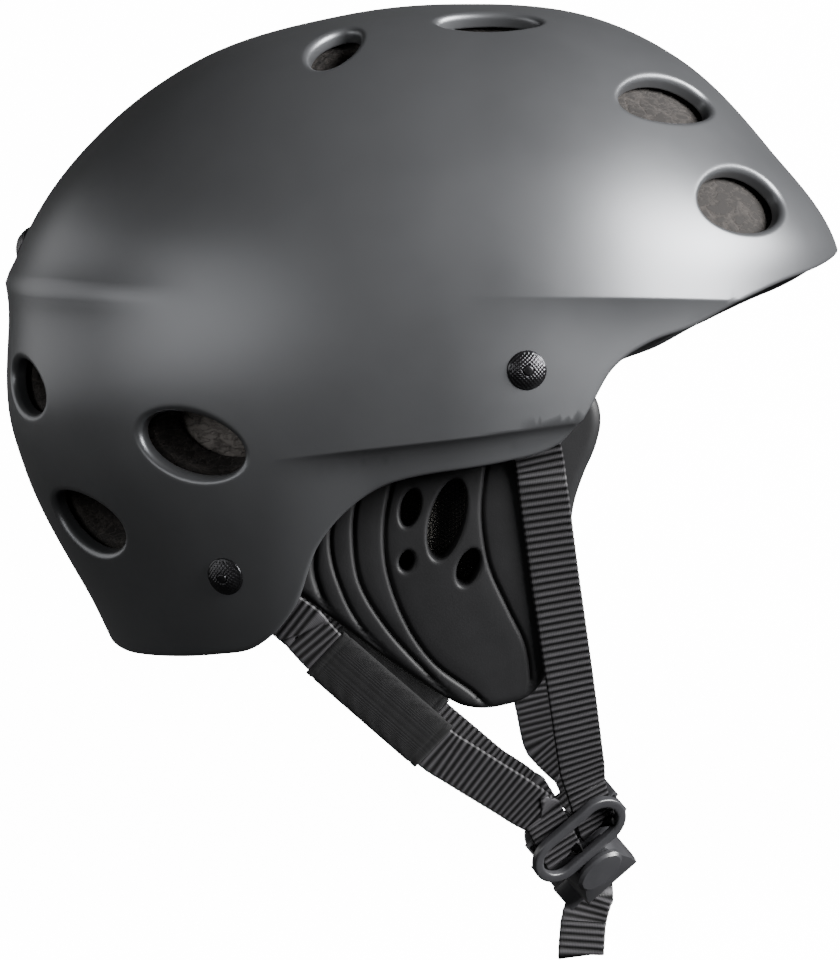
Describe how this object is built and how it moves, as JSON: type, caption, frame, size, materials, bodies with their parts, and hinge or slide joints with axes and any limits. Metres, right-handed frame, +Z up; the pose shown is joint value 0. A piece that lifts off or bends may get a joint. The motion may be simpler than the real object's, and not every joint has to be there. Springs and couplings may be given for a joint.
{
  "type": "water helmet",
  "caption": "Hard-shell water sports helmet with brim, oval side vents, foam liner, ear flaps and a webbing chin strap closed by a side-release buckle.",
  "frame": {"origin": "centre of the head opening, on the brow plane", "axes": "+X towards the brim, +Y towards the wearer's left, +Z up towards the crown"},
  "size_m": [0.2844, 0.2228, 0.3288],
  "materials": {
    "shell": "satin charcoal moulded plastic",
    "liner": "closed-cell foam, matte",
    "pad_cloth": "brushed pad cloth",
    "rivet_metal": "glossy black, knurled head",
    "washer_metal": "plain",
    "webbing": "ribbed woven nylon",
    "sleeve_cloth": "tight knit cloth",
    "buckle_plastic": "semi-gloss black acetal",
    "flap_foam": "moulded foam, soft sheen",
    "mesh_cloth": "open mesh"
  },
  "bodies": {
    "helmet": {"outer_shell": "shell", "liner_crown": "liner", "liner_front": "liner", "liner_left": "liner", "liner_right": "liner", "liner_rear_left": "liner", "liner_rear_right": "liner", "crown_pad": "pad_cloth", "front_pad": "pad_cloth", "rear_pad": "pad_cloth", "left_side_pad": "pad_cloth", "right_side_pad": "pad_cloth", "front_left_rivet": "rivet_metal", "front_right_rivet": "rivet_metal", "rear_left_rivet": "rivet_metal", "rear_right_rivet": "rivet_metal", "rear_centre_rivet": "rivet_metal", "front_left_washer": "washer_metal", "front_right_washer": "washer_metal", "rear_left_washer": "washer_metal", "rear_right_washer": "washer_metal", "rear_centre_washer": "washer_metal", "front_left_strap_end": "webbing", "front_right_strap_end": "webbing", "rear_left_strap_end": "webbing", "rear_right_strap_end": "webbing", "left_flap_root": "flap_foam", "right_flap_root": "flap_foam"},
    "right_straps": {"front_right_strap": "webbing", "rear_right_strap": "webbing", "right_sleeve": "sleeve_cloth", "right_ring": "buckle_plastic", "buckle_socket": "buckle_plastic"},
    "left_straps": {"front_left_strap": "webbing", "rear_left_strap": "webbing", "left_sleeve": "sleeve_cloth", "left_ring": "buckle_plastic", "left_link": "buckle_plastic", "chin_webbing": "webbing", "buckle_plug": "buckle_plastic", "plug_prong_front": "buckle_plastic", "plug_prong_rear": "buckle_plastic"},
    "right_flap": {"right_ear_flap": "flap_foam", "right_flap_mesh": "mesh_cloth"},
    "left_flap": {"left_ear_flap": "flap_foam", "left_flap_mesh": "mesh_cloth"}
  },
  "joints": [
    {"name": "right_strap_swing", "type": "hinge", "parent": "helmet", "child": "right_straps", "pos_m": [0.03642, -0.091, -0.05758], "axis": [-0.8241, 0.1093, -0.5558], "range_deg": [0, 40]},
    {"name": "left_strap_swing", "type": "hinge", "parent": "helmet", "child": "left_straps", "pos_m": [0.03642, 0.091, -0.05758], "axis": [0.8241, 0.1093, 0.5558], "range_deg": [0, 40], "deforming": ["plug_prong_front", "plug_prong_rear"]},
    {"name": "right_flap_fold", "type": "hinge", "parent": "helmet", "child": "right_flap", "pos_m": [0.02644, -0.0812, -0.04278], "axis": [0.8241, -0.1093, 0.5558], "range_deg": [0, 12]},
    {"name": "left_flap_fold", "type": "hinge", "parent": "helmet", "child": "left_flap", "pos_m": [0.02644, 0.0812, -0.04278], "axis": [-0.8241, -0.1093, -0.5558], "range_deg": [0, 12]}
  ],
  "couplings": [
    {"joint": "left_strap_swing", "follows": "right_strap_swing", "ratio": 1}
  ]
}
